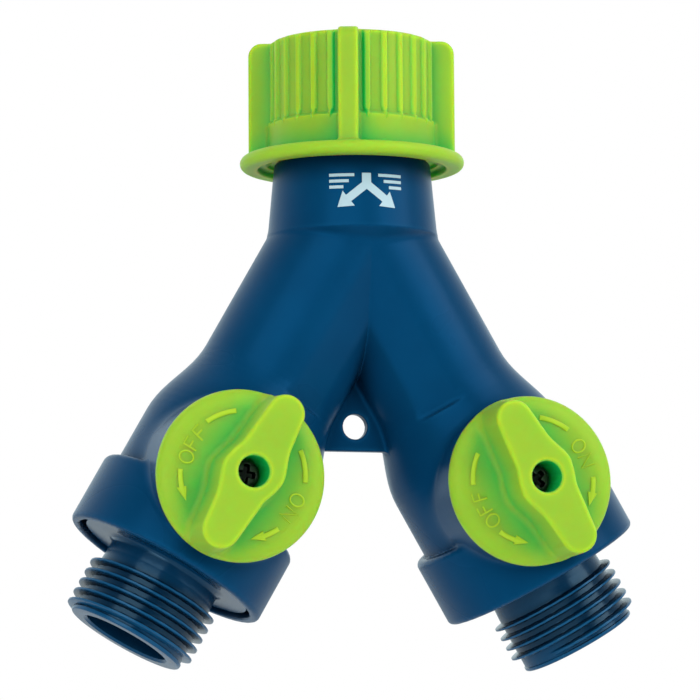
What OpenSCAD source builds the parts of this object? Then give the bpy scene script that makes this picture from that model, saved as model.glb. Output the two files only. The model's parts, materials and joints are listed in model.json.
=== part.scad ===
// Two-way garden hose splitter: a swivel inlet nut over a forked body with a
// quarter-turn ball valve and a male hose thread on each leg.
// Frame: millimetres, +Z up the inlet axis, front (knobs) towards -Y,
// origin at the centre of the washer's sealing face inside the swivel nut.

/* [Layout] */
// Angle of each leg from the inlet axis
leg_angle = 30; // [29:0.5:32]
// Drop from the washer face to the fork point of the two leg axes
fork_drop = 27.7; // [27.2:0.1:28.4]
// Length along a leg from the fork point to its valve centre
leg_length = 58.2; // [57:0.2:64]

/* [Neck] */
// Drop from the washer face to the top of the neck
neck_top_drop = 13.2; // [13.2:0.1:14]
// Outer radius at the top of the neck
neck_top_r = 15.6; // [15:0.1:16]
// Outer radius where the neck meets the legs
neck_base_r = 16.9; // [16.7:0.1:17.2]
// Radius of the socket that takes the swivel tail
neck_socket_r = 9; // [8.6:0.1:9.4]
// Depth of that socket
neck_socket_depth = 12; // [10:0.5:14]

/* [Legs] */
// Outer radius of the slim upper leg
leg_r = 14.6; // [14:0.1:15]
// Radius of the water passage in the leg
passage_r = 7.6; // [6.6:0.1:8]
// Outer radius of the barrel round the valve
barrel_r = 18.5; // [18:0.1:19]
// Outer radius of the end collar
collar_r = 20.8; // [20.2:0.1:21]
// Distance past the valve centre where the collar starts
collar_start = 5; // [4:0.2:6]
// Distance past the valve centre where the collar ends
collar_end = 19.3; // [18.8:0.1:20]
// Wall left round the mouth of the collar
collar_lip = 1.9; // [1.6:0.1:2.2]

/* [Hanging web] */
// Thickness of the web between the legs
web_thickness = 2.4; // [2:0.1:3]
// Drop from the washer face to the lower edge of the web
web_bottom_drop = 70.9; // [70:0.1:72]
// Drop from the washer face to the hanging hole
hole_drop = 66; // [65.5:0.1:66.5]
// Radius of the hanging hole
hole_r = 2.5; // [2:0.1:2.8]

/* [Valve] */
// Radius of the ball
ball_r = 10.5; // [10:0.1:10.6]
// Radius of the hole through the ball
ball_bore_r = 6.2; // [5.5:0.1:6.4]
// Radius of the valve chamber
chamber_r = 11.8; // [11.7:0.05:12]
// Length of the chamber each side of the ball centre
chamber_half = 11.4; // [11.2:0.1:11.6]
// Radius of the stem where it runs in the boss
stem_r = 4.1; // [3.9:0.05:4.2]
// Width of the stem's square drive
stem_square = 5.2; // [5:0.1:5.4]
// Outer radius of the boss just under the knob
boss_r = 15.9; // [15.4:0.1:16.1]

/* [Knob] */
// Radius of the knob
knob_r = 16.6; // [16.2:0.1:17]
// Thickness of the knob's disc
knob_thickness = 3.4; // [3.2:0.1:3.6]
// Height of the handle above the disc
handle_height = 8.6; // [7:0.1:9]
// Distance of each handle end's centre from the knob axis
handle_reach = 12.7; // [12.3:0.1:13]
// Radius of the handle's rounded ends
handle_end_r = 3.6; // [3.2:0.1:3.8]
// Radius of the handle's hub
handle_hub_r = 5.8; // [5.5:0.1:6]

/* [Swivel nut] */
// Height of the nut above the washer face
nut_rise = 11.3; // [11:0.1:11.8]
// Drop of the nut below the washer face
nut_drop = 14.5; // [14.4:0.1:15]
// Radius of the nut's smooth lower band
nut_band_r = 16.8; // [16.6:0.1:17.2]
// Radius of the nut between its grip ridges
nut_flat_r = 15.9; // [15.8:0.1:16.2]
// Height of the small grip ridges
ridge_height = 0.65; // [0.4:0.05:0.8]
// Radius over the four large ribs
nut_rib_r = 20.6; // [20:0.1:21]
// Width of each large rib
nut_rib_width = 4; // [3.5:0.1:4.5]
// Radius of the nut's bottom flange
nut_flange_r = 22.4; // [22:0.1:23]
// Turn of the nut about the inlet axis at rest
nut_turn = -18; // [-44:1:44]

/* [Hose threads] */
// Pitch of the garden hose thread
thread_pitch = 2.209; // [2.1:0.001:2.25]
// Number of thread crests
thread_crests = 5; // [3:1:5]
// Crest radius of the male outlet threads
male_crest_r = 13.35; // [13.28:0.01:13.5]
// Crest radius of the female inlet thread
female_crest_r = 12.3; // [12.2:0.01:12.4]
// Depth of either thread
thread_depth = 1.2; // [1:0.05:1.25]
// Radius of the water passage through each outlet
outlet_bore_r = 8.7; // [8:0.1:9]

/* [Hidden] */
$fn = 96;

LEFT = -1;
RIGHT = 1;
crest_half = 0.2;          // half the flat on top of a thread crest
crest_base = 0.85;         // half the crest's width at its root
run_gap = 0.08;            // radial clearance of a running fit
rest_gap = 0.3;            // clearance between faces that turn past each other
cut = 0.5;                 // overshoot of a cutting solid past the face it opens

valve_x = leg_length * sin(leg_angle);
valve_z = -fork_drop - leg_length * cos(leg_angle);

// neck and fork
neck_facet = 2.5;          // how far the sloping facet steps in from the neck to the legs
facet_drop = 3.1;          // height of that facet
edge_round = 1;            // rounding of the moulded edges

// barrel swelling, measured along the leg from the valve centre
swell_start = -24;
swell_end = -7;
swell_steps = 10;

// stack of parts on the knob axis, measured forward from the leg's middle plane
stem_foot = 7.6;           // bottom of the stem's tang
stem_flange_bottom = 11.4;
stem_flange_top = 13.1;
stem_flange_r = 5.6;
stem_washer_top = 13.6;
stem_groove_r = stem_r - 1.2;
boss_counterbore_floor = 18.4;
stem_shoulder = 18.2;      // the round stem becomes a square here
boss_top = collar_r + 0.1;
knob_back = boss_top + rest_gap;
knob_face = knob_back + knob_thickness;
knob_top = knob_face + handle_height;
knob_hub_r = 5.9;
knob_hub_back = boss_counterbore_floor + rest_gap;
screw_seat = knob_top - 8.7;
stem_top = screw_seat - 1.5;

// tang and slot that turn the ball
tang_width = 3;
tang_length = 9;

// outlet fitting, measured along the leg from the valve centre
flange_seat = 16;
flange_front = 18.4;
flange_r = 18;
outlet_neck_r = 11.6;
first_crest = 24.1;
outlet_end = 34.9;
outlet_lip_r = 12;
outlet_groove_r = chamber_r - 1.3;
seal_play = 0.02;          // gap kept between an o-ring and the walls it seals

// swivel joint
washer_thickness = 3;
washer_r = 13.1;
washer_hole_r = 8.6;
tail_flange_top = -washer_thickness - rest_gap;
tail_flange_bottom = tail_flange_top - 2.5;
tail_flange_r = 12.6;
tail_shank_r = 10;
tail_bore_r = 7.6;
lip_top = tail_flange_bottom - rest_gap;
lip_bottom = lip_top - 3.2;
nut_flange_top = -nut_drop + 2.8;
ridge_bottom = -5.1;
rib_corner_r = 2.8;
divisions = 28;            // grip positions round the nut, every seventh a large rib

body_blue = [0.02, 0.22, 0.38];
lime = [0.56, 0.80, 0.18];
seal_black = [0.08, 0.08, 0.08];
inner_white = [0.90, 0.90, 0.86];
steel = [0.35, 0.35, 0.34];

// ---------- helpers ----------

// points of an arc about c from angle a0 to a1 in n steps
function arc(c, r, a0, a1, n = 5) =
    [for (i = [0:n]) c + r * [cos(a0 + (a1 - a0) * i / n), sin(a0 + (a1 - a0) * i / n)]];

// outline points of a ring thread, from crest number first to the last one
function thread_profile(root, crest, start, first = 0) =
    [for (i = [first:thread_crests - 1])
        for (p = [[root, -crest_base], [crest, -crest_half], [crest, crest_half], [root, crest_base]])
            [p[0], start + i * thread_pitch + p[1]]];

// smooth step from 0 to 1
function blend(u) = 0.5 - 0.5 * cos(180 * u);

// puts a shape on a leg: +Z runs down the leg axis, origin at the valve centre
module on_leg(side) {
    translate([side * valve_x, 0, valve_z])
        rotate([0, side * (180 - leg_angle), 0])
            children();
}

// puts a shape on a knob axis: +Z runs to the front, turned so that +X lies along the leg
module on_knob_axis(side) {
    translate([side * valve_x, 0, valve_z])
        rotate([90, 0, 0])
            rotate([0, 0, 90 + side * leg_angle])
                children();
}

// o-ring that fills the space between a groove's floor and the bore round it
module o_ring(floor_r, wall_r, z) {
    translate([0, 0, z])
        rotate_extrude()
            translate([(floor_r + wall_r) / 2, 0])
                circle((wall_r - floor_r) / 2 - seal_play, $fn = 24);
}

// ---------- body ----------

module neck_solid() {
    facet_start = -fork_drop - 0.2;
    rotate_extrude()
        polygon(concat(
            [[0, facet_start - facet_drop], [neck_base_r - neck_facet, facet_start - facet_drop],
             [neck_base_r, facet_start]],
            arc([neck_top_r - edge_round, -neck_top_drop - edge_round], edge_round, 0, 90),
            [[0, -neck_top_drop]]));
}

module leg_solid() {
    swell = [for (i = [0:swell_steps]) let (u = i / swell_steps)
        [leg_r + (barrel_r - leg_r) * blend(u), swell_start + (swell_end - swell_start) * u]];
    rotate_extrude()
        polygon(concat(
            [[0, -leg_length], [leg_r, -leg_length]],
            swell,
            [[barrel_r, collar_start]],
            arc([collar_r - edge_round, collar_start + edge_round], edge_round, -90, 0),
            arc([collar_r - edge_round, collar_end - edge_round], edge_round, 0, 90),
            [[0, collar_end]]));
}

// round boss that stands on the barrel under the knob, with a little draft
module boss_solid() {
    top_round = 0.6;
    draft = 1.2;
    rotate_extrude()
        polygon(concat(
            [[0, 0], [boss_r + draft, 0]],
            arc([boss_r - top_round, boss_top - top_round], top_round, 0, 90, 3),
            [[0, boss_top]]));
}

module web_solid() {
    half_width = 10;
    top_drop = 50;
    translate([-half_width, -web_thickness / 2, -web_bottom_drop])
        cube([2 * half_width, web_thickness, web_bottom_drop - top_drop]);
}

// everything cut from the inside of one leg
module leg_hollow() {
    translate([0, 0, -leg_length]) cylinder(r = passage_r, h = leg_length);
    translate([0, 0, -chamber_half]) cylinder(r = chamber_r, h = chamber_half + flange_seat + cut);
    translate([0, 0, flange_seat]) cylinder(r = collar_r - collar_lip, h = collar_end - flange_seat + cut);
}

// everything cut along the knob axis
module boss_hollow() {
    cylinder(r = stem_r + run_gap, h = boss_top + cut);
    cylinder(r = stem_flange_r + run_gap, h = stem_washer_top);
    translate([0, 0, boss_counterbore_floor]) cylinder(r = knob_hub_r + rest_gap, h = boss_top);
}

module y_body() {
    color(body_blue)
    difference() {
        union() {
            neck_solid();
            web_solid();
            for (side = [LEFT, RIGHT]) {
                on_leg(side) leg_solid();
                on_knob_axis(side) boss_solid();
            }
        }
        translate([0, 0, -neck_top_drop - neck_socket_depth])
            cylinder(r = neck_socket_r, h = neck_socket_depth + cut);
        translate([0, 0, -fork_drop]) cylinder(r = passage_r, h = fork_drop - neck_top_drop);
        translate([0, 0, -fork_drop]) sphere(passage_r);
        for (side = [LEFT, RIGHT]) {
            on_leg(side) leg_hollow();
            on_knob_axis(side) boss_hollow();
        }
        translate([0, 0, -hole_drop]) rotate([90, 0, 0])
            cylinder(r = hole_r, h = 2 * web_thickness, center = true);
    }
}

// ---------- swivel inlet ----------

// flanged tube fixed in the neck, which the nut turns on
module swivel_tail() {
    bottom = -neck_top_drop - neck_socket_depth;
    color(body_blue)
    rotate_extrude()
        polygon([
            [tail_bore_r, bottom], [neck_socket_r, bottom],
            [neck_socket_r, -neck_top_drop], [tail_shank_r, -neck_top_drop],
            [tail_shank_r, tail_flange_bottom], [tail_flange_r, tail_flange_bottom],
            [tail_flange_r, tail_flange_top], [tail_bore_r, tail_flange_top]]);
}

module nut_shell() {
    flange_round = 1.35;
    top_round = 0.5;
    rotate_extrude()
        polygon(concat(
            [[0, -nut_drop]],
            arc([nut_flange_r - flange_round, -nut_drop + flange_round], flange_round, -90, 90, 8),
            [[nut_band_r, nut_flange_top], [nut_band_r, ridge_bottom - 0.8], [nut_flat_r, ridge_bottom]],
            arc([nut_flat_r - top_round, nut_rise - top_round], top_round, 0, 90, 3),
            [[0, nut_rise]]));
}

// ring of small V ridges, left out where a large rib stands
module grip_ridges() {
    ridge_half = 0.75;
    for (i = [0:divisions - 1])
        if (i % 7 != 0)
            rotate([0, 0, i * 360 / divisions])
                translate([0, 0, ridge_bottom - 0.4])
                    linear_extrude(nut_rise - ridge_bottom)
                        polygon([[nut_flat_r - 1, -ridge_half], [nut_flat_r - 0.05, -ridge_half],
                                 [nut_flat_r + ridge_height, 0],
                                 [nut_flat_r - 0.05, ridge_half], [nut_flat_r - 1, ridge_half]]);
}

// the four large ribs, rounded at their outer top corners
module nut_ribs() {
    for (i = [0:3])
        rotate([0, 0, i * 90])
            translate([0, nut_rib_width / 2, 0])
                rotate([90, 0, 0])
                    linear_extrude(nut_rib_width)
                        polygon(concat(
                            [[nut_flat_r - 1.5, -nut_drop + 1], [nut_rib_r, -nut_drop + 1]],
                            arc([nut_rib_r - rib_corner_r, nut_rise - rib_corner_r], rib_corner_r, 0, 90),
                            [[nut_flat_r - 1.5, nut_rise]]));
}

// everything cut from the inside of the nut, with the thread left standing as rings
module nut_hollow() {
    root = female_crest_r + thread_depth;
    outer_step_r = 18.8;
    inner_step_r = 17.2;
    hollow_r = 14.6;
    mouth_bevel = 0.5;
    rotate_extrude()
        polygon(concat(
            [[0, -nut_drop - cut], [outer_step_r, -nut_drop - cut], [outer_step_r, -nut_drop + 1.2],
             [inner_step_r, -nut_drop + 1.2], [inner_step_r, -nut_drop + 2], [hollow_r, -nut_drop + 2],
             [hollow_r, lip_bottom], [tail_shank_r + run_gap, lip_bottom],
             [tail_shank_r + run_gap, lip_top], [washer_r, lip_top],
             [washer_r, 0], [female_crest_r, 0],
             [female_crest_r, 2 * crest_half], [root, crest_half + crest_base]],
            thread_profile(root, female_crest_r, crest_half, 1),
            [[root, nut_rise - mouth_bevel], [root + mouth_bevel, nut_rise],
             [root + mouth_bevel, nut_rise + cut], [0, nut_rise + cut]]));
}

module swivel_nut() {
    color(lime)
    rotate([0, 0, nut_turn - 90])
        difference() {
            union() {
                nut_shell();
                grip_ridges();
                nut_ribs();
            }
            nut_hollow();
        }
}

module hose_washer() {
    bevel = 0.3;
    outer_r = washer_r - 0.05;
    color(seal_black)
    rotate_extrude()
        polygon([
            [washer_hole_r, -washer_thickness], [outer_r - bevel, -washer_thickness],
            [outer_r, -washer_thickness + bevel], [outer_r, -bevel], [outer_r - bevel, 0],
            [washer_hole_r, 0]]);
}

// ---------- outlets ----------

module outlet_fitting(side) {
    groove = [12.7, 14.7];
    fillet = 2.6;
    lip_bevel = 0.4;
    color(body_blue)
    on_leg(side)
        rotate_extrude()
            polygon(concat(
                [[outlet_bore_r, chamber_half], [chamber_r - 0.1, chamber_half],
                 [chamber_r - 0.1, groove[0]], [outlet_groove_r, groove[0]],
                 [outlet_groove_r, groove[1]], [chamber_r - 0.1, groove[1]],
                 [chamber_r - 0.1, flange_seat], [flange_r, flange_seat], [flange_r, flange_front]],
                arc([outlet_neck_r + fillet, flange_front + fillet], fillet, 270, 180),
                [[outlet_neck_r, first_crest - 1.4]],
                thread_profile(male_crest_r - thread_depth, male_crest_r, first_crest),
                [[outlet_lip_r, outlet_end - 0.9], [outlet_lip_r, outlet_end - lip_bevel],
                 [outlet_lip_r - lip_bevel, outlet_end], [outlet_bore_r + lip_bevel, outlet_end],
                 [outlet_bore_r, outlet_end - lip_bevel]]));
}

module outlet_o_ring(side) {
    color(seal_black)
    on_leg(side) o_ring(outlet_groove_r, chamber_r, 13.7);
}

// ---------- ball valve ----------

// sealing ring that cups the ball, on the upstream (-1) or downstream (1) end of the chamber
module ball_seat(side, end) {
    seat_hole_r = 6.8;
    seat_depth = 4;
    color(inner_white)
    on_leg(side)
        difference() {
            translate([0, 0, end > 0 ? chamber_half - seat_depth : -chamber_half])
                cylinder(r = chamber_r, h = seat_depth);
            cylinder(r = seat_hole_r, h = 3 * chamber_half, center = true);
            sphere(ball_r + 0.1);
        }
}

// ball with its water bore along the leg at rest and a slot for the stem
module ball(side) {
    slot_gap = 0.1;
    color(inner_white)
    on_knob_axis(side)
        difference() {
            sphere(ball_r);
            rotate([0, 90, 0]) cylinder(r = ball_bore_r, h = 3 * ball_r, center = true);
            translate([-tang_length / 2 - slot_gap, -tang_width / 2 - slot_gap, stem_foot - slot_gap])
                cube([tang_length + 2 * slot_gap, tang_width + 2 * slot_gap, ball_r]);
        }
}

module stem(side) {
    groove = [15, 17];
    tang_top = stem_flange_bottom + 0.5;
    screw_hole_r = 1.5;
    screw_hole_floor = 14;
    color(seal_black)
    on_knob_axis(side)
        difference() {
            union() {
                intersection() {
                    translate([-tang_length / 2, -tang_width / 2, stem_foot])
                        cube([tang_length, tang_width, tang_top - stem_foot]);
                    cylinder(r = stem_flange_r, h = stem_top);
                }
                rotate_extrude()
                    polygon([
                        [0, stem_flange_bottom], [stem_flange_r, stem_flange_bottom],
                        [stem_flange_r, stem_flange_top], [stem_r, stem_flange_top],
                        [stem_r, groove[0]], [stem_groove_r, groove[0]], [stem_groove_r, groove[1]],
                        [stem_r, groove[1]], [stem_r, stem_shoulder], [0, stem_shoulder]]);
                translate([-stem_square / 2, -stem_square / 2, stem_shoulder - cut])
                    cube([stem_square, stem_square, stem_top - stem_shoulder + cut]);
            }
            translate([0, 0, screw_hole_floor]) cylinder(r = screw_hole_r, h = stem_top);
        }
}

// thin bearing washer between the stem's flange and the boss
module stem_washer(side) {
    color(inner_white)
    on_knob_axis(side)
        difference() {
            translate([0, 0, stem_flange_top])
                cylinder(r = stem_flange_r - 0.1, h = stem_washer_top - stem_flange_top - 0.05);
            cylinder(r = stem_r, h = boss_top);
        }
}

module stem_o_ring(side) {
    color(seal_black)
    on_knob_axis(side) o_ring(stem_groove_r, stem_r + run_gap, 16);
}

// ---------- knob ----------

// outline of the handle: two tapering arms with round ends and a wide hub
module handle_outline(grow = 0) {
    arm_root_r = handle_end_r + 0.8;
    offset(r = -3) offset(r = 3 + grow)
        union() {
            circle(handle_hub_r);
            for (end = [-1, 1])
                hull() {
                    translate([end * handle_reach, 0]) circle(handle_end_r, $fn = 32);
                    circle(arm_root_r, $fn = 32);
                }
        }
}

// disc with a broad rounded rim, hollow at the back round its hub
module knob_disc() {
    rim = [3.6, 2.2];          // width and depth of the rounded rim
    steps = 6;
    skirt = 2;                 // wall of the knob's rim
    hollow_depth = 1.4;
    back_round = 1.3;
    rotate_extrude()
        polygon(concat(
            [[0, knob_hub_back], [knob_hub_r, knob_hub_back], [knob_hub_r, knob_back + hollow_depth],
             [knob_r - skirt, knob_back + hollow_depth], [knob_r - skirt, knob_back]],
            arc([knob_r - back_round, knob_back + back_round], back_round, -90, 0),
            [for (i = [0:steps]) let (a = 90 * i / steps)
                [knob_r - rim[0] * (1 - cos(a)), knob_face - rim[1] * (1 - sin(a))]],
            [[0, knob_face]]));
}

module knob(side) {
    top_step = 1;              // height of the handle's rounded top edge
    sunk = 0.4;                // how far the handle's foot sinks into the disc
    color(lime)
    on_knob_axis(side)
        difference() {
            union() {
                knob_disc();
                intersection() {
                    union() {
                        translate([0, 0, knob_face - sunk])
                            linear_extrude(handle_height + sunk - top_step) handle_outline(0.3);
                        translate([0, 0, knob_top - top_step - cut])
                            linear_extrude(top_step + cut) handle_outline();
                    }
                    cylinder(r = knob_r - 0.1, h = knob_top);
                }
            }
            translate([0, 0, screw_seat]) cylinder(r = 3.05, h = handle_height + cut);
            cylinder(r = 1.7, h = knob_top);
            translate([-stem_square / 2, -stem_square / 2, 0])
                cube([stem_square, stem_square, stem_top + 0.1]);
        }
}

// pan-head screw with a cross recess
module knob_screw(side) {
    head_r = 2.8;
    head_height = 2;
    shank_r = 1.5;
    length = 8;
    slot = [0.8, 3.6, 1.2];
    color(steel)
    on_knob_axis(side)
        translate([0, 0, screw_seat])
            difference() {
                union() {
                    translate([0, 0, -length]) cylinder(r = shank_r, h = length + cut);
                    rotate_extrude()
                        polygon(concat(
                            [[0, 0], [head_r, 0]],
                            arc([head_r - 0.9, head_height - 0.9], 0.9, 0, 90, 4),
                            [[0, head_height]]));
                }
                for (turn = [20, 110])
                    rotate([0, 0, turn])
                        translate([-slot[1] / 2, -slot[0] / 2, head_height - slot[2]])
                            cube([slot[1], slot[0], slot[2] + cut]);
            }
}

y_body();
swivel_tail();
swivel_nut();
hose_washer();
outlet_fitting(LEFT);  // outlet_fitting_left
outlet_fitting(RIGHT);  // outlet_fitting_right
outlet_o_ring(LEFT);  // outlet_o_ring_left
outlet_o_ring(RIGHT);  // outlet_o_ring_right
ball_seat(LEFT, -1);  // seat_upper_left
ball_seat(RIGHT, -1);  // seat_upper_right
ball_seat(LEFT, 1);  // seat_lower_left
ball_seat(RIGHT, 1);  // seat_lower_right
ball(LEFT);  // ball_left
ball(RIGHT);  // ball_right
stem(LEFT);  // stem_left
stem(RIGHT);  // stem_right
stem_washer(LEFT);  // stem_washer_left
stem_washer(RIGHT);  // stem_washer_right
stem_o_ring(LEFT);  // stem_o_ring_left
stem_o_ring(RIGHT);  // stem_o_ring_right
knob(LEFT);  // knob_left
knob(RIGHT);  // knob_right
knob_screw(LEFT);  // knob_screw_left
knob_screw(RIGHT);  // knob_screw_right
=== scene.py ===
import json
import math

import bmesh
import bpy
import numpy as np
from mathutils import Matrix, Vector


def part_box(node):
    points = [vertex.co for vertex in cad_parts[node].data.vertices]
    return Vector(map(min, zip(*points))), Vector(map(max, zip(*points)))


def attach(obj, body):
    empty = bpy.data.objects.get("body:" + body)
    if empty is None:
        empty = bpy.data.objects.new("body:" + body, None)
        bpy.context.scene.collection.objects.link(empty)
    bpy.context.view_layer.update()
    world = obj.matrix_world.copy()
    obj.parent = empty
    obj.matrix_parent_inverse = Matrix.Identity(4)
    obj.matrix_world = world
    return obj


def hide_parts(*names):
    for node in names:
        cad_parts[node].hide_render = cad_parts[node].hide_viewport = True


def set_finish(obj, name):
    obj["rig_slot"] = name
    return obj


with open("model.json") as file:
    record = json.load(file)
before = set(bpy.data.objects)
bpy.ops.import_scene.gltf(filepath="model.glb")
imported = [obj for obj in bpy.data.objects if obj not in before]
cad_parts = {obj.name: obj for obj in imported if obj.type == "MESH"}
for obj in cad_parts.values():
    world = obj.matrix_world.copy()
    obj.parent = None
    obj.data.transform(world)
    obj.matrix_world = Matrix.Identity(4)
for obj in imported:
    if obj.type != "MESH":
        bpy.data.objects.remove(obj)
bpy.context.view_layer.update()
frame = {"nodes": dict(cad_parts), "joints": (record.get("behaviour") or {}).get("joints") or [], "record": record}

# Garden hose splitter with a swivel nut and two knobs. Each big moulding is an even mesh over its
# rough shape, moved onto a signed distance; the outlets and threads are turned from profiles.
# Shapes are worked out in millimetres in the row's frame; meshes and objects are in metres.
MM = 0.001
SIDES = {"left": -1, "right": 1}
mounts = {m["name"]: m for m in frame["record"]["mounts"]}
joints = {j["name"]: j for j in frame["joints"]}


# ---------- places read from the frame ----------

LEG_ANGLE = math.acos(-mounts["outlet_right"]["axis"][2])
VALVE = np.array(joints["right_knob_turn"]["pos_m"]) / MM
THREAD_RADIUS = mounts["outlet_right"]["dims"]["r_mm"]
INLET_RADIUS = mounts["inlet"]["dims"]["r_mm"]
PITCH = 2.209
NUT_TURN = math.radians(-18)     # as it is turned in the photo


# ---------- signed distances, in millimetres, for many points at once ----------

def soft_min(a, b, k):
    """Union of two shapes with a fillet about k wide."""
    h = np.maximum(k - np.abs(a - b), 0) / k
    return np.minimum(a, b) - h * h * k / 4


def soft_max(a, b, k):
    """Common part of two shapes with its edge rounded about k wide."""
    return -soft_min(-a, -b, k)


def outline_distance(x, y, corners):
    """Signed distance from points to a closed outline, negative inside."""
    corners = np.asarray(corners, float)
    nearest = np.full(x.shape, np.inf)
    inside = np.ones(x.shape)
    for (ax, ay), (bx, by) in zip(corners, np.roll(corners, 1, axis=0)):
        ex, ey = bx - ax, by - ay
        if math.hypot(ex, ey) < 1e-6:
            continue
        wx, wy = x - ax, y - ay
        along = np.clip((wx * ex + wy * ey) / (ex * ex + ey * ey), 0, 1)
        nearest = np.minimum(nearest, (wx - ex * along) ** 2 + (wy - ey * along) ** 2)
        above, below, left = y >= ay, y < by, ex * wy > ey * wx
        flip = (above & below & left) | (~above & ~below & ~left)
        inside = np.where(flip, -inside, inside)
    return inside * np.sqrt(nearest)


def arc(cx, cy, radius, start, end, steps=6):
    """Points of an arc, angles in degrees."""
    angles = np.radians(np.linspace(start, end, steps + 1))
    return [(cx + radius * math.cos(a), cy + radius * math.sin(a)) for a in angles]


def blend(u):
    """Smooth step from 0 to 1."""
    u = np.clip(u, 0, 1)
    return 0.5 - 0.5 * np.cos(math.pi * u)


def box_distance(x, y, z, hx, hy, hz):
    """Signed distance to a box with its centre at the origin."""
    q = np.stack([np.abs(x) - hx, np.abs(y) - hy, np.abs(z) - hz])
    outside = np.sqrt((np.maximum(q, 0) ** 2).sum(0))
    return outside + np.minimum(q.max(0), 0)


# ---------- coordinates of the legs and knobs ----------

def leg_coordinates(p, side):
    """Distance down a leg's axis from its valve centre, and the two distances off that axis."""
    dx, dz = side * p[:, 0] - VALVE[0], p[:, 2] - VALVE[2]
    s, c = math.sin(LEG_ANGLE), math.cos(LEG_ANGLE)
    return dx * s - dz * c, dx * c + dz * s, p[:, 1]


def knob_coordinates(p, side):
    """Along the handle, across it, and forward from the leg's middle plane."""
    angle = math.pi / 2 + side * LEG_ANGLE
    dx, dz = p[:, 0] - side * VALVE[0], p[:, 2] - VALVE[2]
    c, s = math.cos(angle), math.sin(angle)
    return dx * c + dz * s, -dx * s + dz * c, -p[:, 1]


def leg_matrix(side):
    """Places a shape made about +Z on a leg, with its origin at the valve centre."""
    at = Vector((side * VALVE[0], 0, VALVE[2])) * MM
    return Matrix.Translation(at) @ Matrix.Rotation(side * (math.pi - LEG_ANGLE), 4, "Y")


def knob_matrix(side):
    """Places a shape made about +Z on a knob axis, with +X along the handle."""
    at = Vector((side * VALVE[0], 0, VALVE[2])) * MM
    turn = Matrix.Rotation(math.pi / 2 + side * LEG_ANGLE, 4, "Z")
    return Matrix.Translation(at) @ Matrix.Rotation(math.pi / 2, 4, "X") @ turn


# ---------- mesh helpers ----------

def new_object(name, mesh, matrix=None):
    """Object in the scene, with the matrix applied to its mesh."""
    piece = bpy.data.objects.new(name, mesh)
    bpy.context.scene.collection.objects.link(piece)
    if matrix is not None:
        mesh.transform(matrix)
    return piece


def apply_modifier(piece, kind, **values):
    """Adds one modifier, applies it and leaves the result in the mesh."""
    modifier = piece.modifiers.new(kind.lower(), kind)
    for key, value in values.items():
        setattr(modifier, key, value)
    depsgraph = bpy.context.evaluated_depsgraph_get()
    mesh = bpy.data.meshes.new_from_object(piece.evaluated_get(depsgraph))
    piece.modifiers.clear()
    piece.data = mesh


def points_of(mesh):
    """Vertices in millimetres, one row each."""
    co = np.zeros(len(mesh.vertices) * 3)
    mesh.vertices.foreach_get("co", co)
    return co.reshape(-1, 3) / MM


def gradient(distance, p, step=0.02):
    """Gradient of a distance function by central differences."""
    out = np.zeros_like(p)
    for axis in range(3):
        shift = np.zeros(3)
        shift[axis] = step
        out[:, axis] = (distance(p + shift) - distance(p - shift)) / (2 * step)
    return out


def settle(piece, distance, rounds=5, reach=0.8):
    """Moves every vertex onto the surface where distance is zero, and shades by that surface."""
    p = points_of(piece.data)
    for _ in range(rounds):
        g = gradient(distance, p)
        move = distance(p)[:, None] * g / np.maximum((g * g).sum(1, keepdims=True), 0.05)
        size = np.linalg.norm(move, axis=1, keepdims=True)
        p -= move * np.minimum(1, reach / np.maximum(size, 1e-9))
    piece.data.vertices.foreach_set("co", (p * MM).ravel())
    piece.data.update()
    shade_smooth(piece)
    g = gradient(distance, p)
    g /= np.maximum(np.linalg.norm(g, axis=1, keepdims=True), 1e-9)
    piece.data.normals_split_custom_set_from_vertices(g.tolist())


def shade_smooth(piece):
    piece.data.polygons.foreach_set("use_smooth", [True] * len(piece.data.polygons))


def reshaped(name, base, distance, voxel, keep=1.0):
    """Even mesh over a rough closed mesh, then settled on its exact smooth surface."""
    piece = new_object(name, base.copy())
    apply_modifier(piece, "REMESH", mode="VOXEL", voxel_size=voxel * MM, adaptivity=0)
    settle(piece, distance, rounds=3)
    if keep < 1:
        apply_modifier(piece, "DECIMATE", ratio=keep)
        settle(piece, distance, rounds=2)
    return piece


def lathe(name, rings, matrix, columns=144):
    """Closed mesh round Z from (radius, height) pairs; a radius may be a function of the angles."""
    angles = np.linspace(0, 2 * math.pi, columns, endpoint=False)
    verts = []
    for radius, height in rings:
        radii = radius(angles) if callable(radius) else np.full(columns, float(radius))
        verts += [(r * math.cos(a) * MM, r * math.sin(a) * MM, height * MM)
                  for r, a in zip(radii, angles)]
    count = len(rings)
    faces = []
    for i in range(count):
        j = (i + 1) % count
        for k in range(columns):
            m = (k + 1) % columns
            faces.append((i * columns + k, i * columns + m, j * columns + m, j * columns + k))
    mesh = bpy.data.meshes.new(name)
    mesh.from_pydata(verts, [], faces)
    return finish_mesh(new_object(name, mesh, matrix))


def finish_mesh(piece, sharp_angle=35):
    """Consistent outward faces, smooth shading and sharp edges kept."""
    bm = bmesh.new()
    bm.from_mesh(piece.data)
    bmesh.ops.remove_doubles(bm, verts=bm.verts, dist=1e-7)
    bmesh.ops.recalc_face_normals(bm, faces=bm.faces)
    for edge in bm.edges:
        edge.smooth = (len(edge.link_faces) != 2
                       or edge.calc_face_angle() < math.radians(sharp_angle))
    bm.to_mesh(piece.data)
    bm.free()
    shade_smooth(piece)
    return piece


CREST_HALF = 0.07      # half width of a thread's crest, in turns
FLANK = 0.22           # width of its flank, in turns
RUN_IN = 0.3           # height over which its ends rise and fall


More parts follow.
